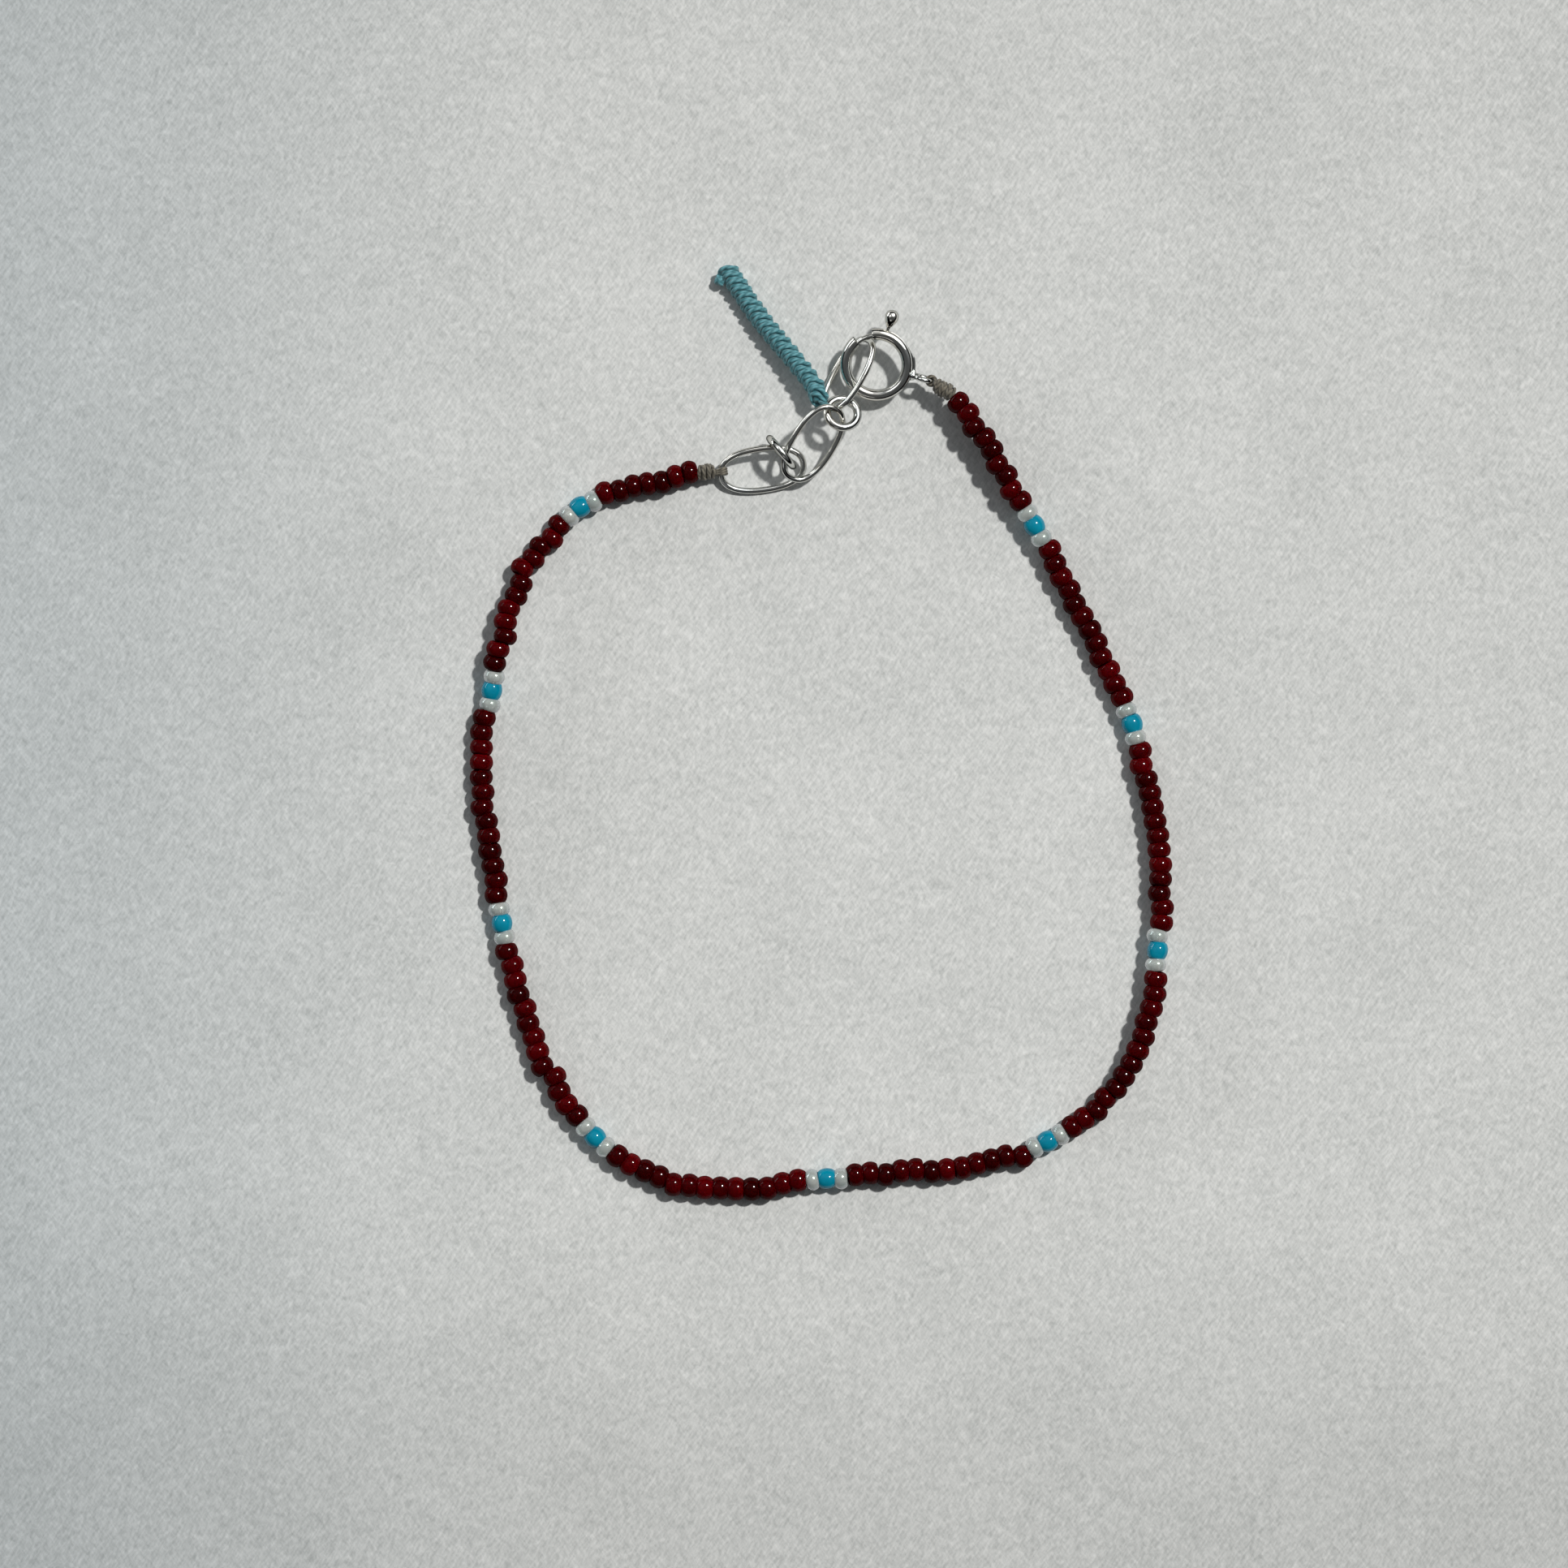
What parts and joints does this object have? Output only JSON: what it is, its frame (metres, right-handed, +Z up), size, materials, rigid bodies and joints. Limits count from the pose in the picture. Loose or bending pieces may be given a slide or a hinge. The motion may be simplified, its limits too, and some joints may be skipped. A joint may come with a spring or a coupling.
{
  "type": "beaded bracelet",
  "caption": "Fine beaded bracelet of dark red glass beads with pearly white and turquoise accents, a silver spring ring, a short oval-link extension chain and a knotted teal thread dangle.",
  "frame": {"origin": "on the surface the bracelet lies on, under the middle of its bounding box", "axes": "+Z up from the surface; +Y along the bracelet's length, towards the clasp; +X to the right as the picture shows it"},
  "size_m": [0.0578, 0.0768, 0.004],
  "materials": {
    "red_glass": "polished dark red glass, slightly see-through",
    "white_glass": "pearly white glass with a faint lustre",
    "turquoise_glass": "opaque turquoise glass, glossy",
    "silver": "polished silver",
    "grey_thread": "fine grey thread, knotted",
    "teal_thread": "waxed teal thread, tightly knotted"
  },
  "bodies": {
    "bracelet": {"red_run_1": "red_glass", "red_run_2": "red_glass", "red_run_3": "red_glass", "red_run_4": "red_glass", "red_run_5": "red_glass", "red_run_6": "red_glass", "red_run_7": "red_glass", "red_run_8": "red_glass", "red_run_9": "red_glass", "red_run_10": "red_glass", "white_bead_1": "white_glass", "white_bead_2": "white_glass", "white_bead_3": "white_glass", "white_bead_4": "white_glass", "white_bead_5": "white_glass", "white_bead_6": "white_glass", "white_bead_7": "white_glass", "white_bead_8": "white_glass", "white_bead_9": "white_glass", "white_bead_10": "white_glass", "white_bead_11": "white_glass", "white_bead_12": "white_glass", "white_bead_13": "white_glass", "white_bead_14": "white_glass", "white_bead_15": "white_glass", "white_bead_16": "white_glass", "white_bead_17": "white_glass", "white_bead_18": "white_glass", "turquoise_bead_1": "turquoise_glass", "turquoise_bead_2": "turquoise_glass", "turquoise_bead_3": "turquoise_glass", "turquoise_bead_4": "turquoise_glass", "turquoise_bead_5": "turquoise_glass", "turquoise_bead_6": "turquoise_glass", "turquoise_bead_7": "turquoise_glass", "turquoise_bead_8": "turquoise_glass", "turquoise_bead_9": "turquoise_glass", "left_knot": "grey_thread", "right_knot": "grey_thread", "spring_ring": "silver", "link_1": "silver", "link_2": "silver", "link_3": "silver", "small_ring_1": "silver", "small_ring_2": "silver", "thread_dangle": "teal_thread"},
    "bolt": {"spring_bolt": "silver"}
  },
  "joints": [
    {"name": "trigger", "type": "hinge", "parent": "bracelet", "child": "bolt", "pos_m": [0.00454, 0.0302, 0.00202], "axis": [-0.059, -0.1993, 0.9781], "range_deg": [-38, 0], "stiffness_Nm_per_rad": 0.002, "springref_deg": 22.92}
  ]
}
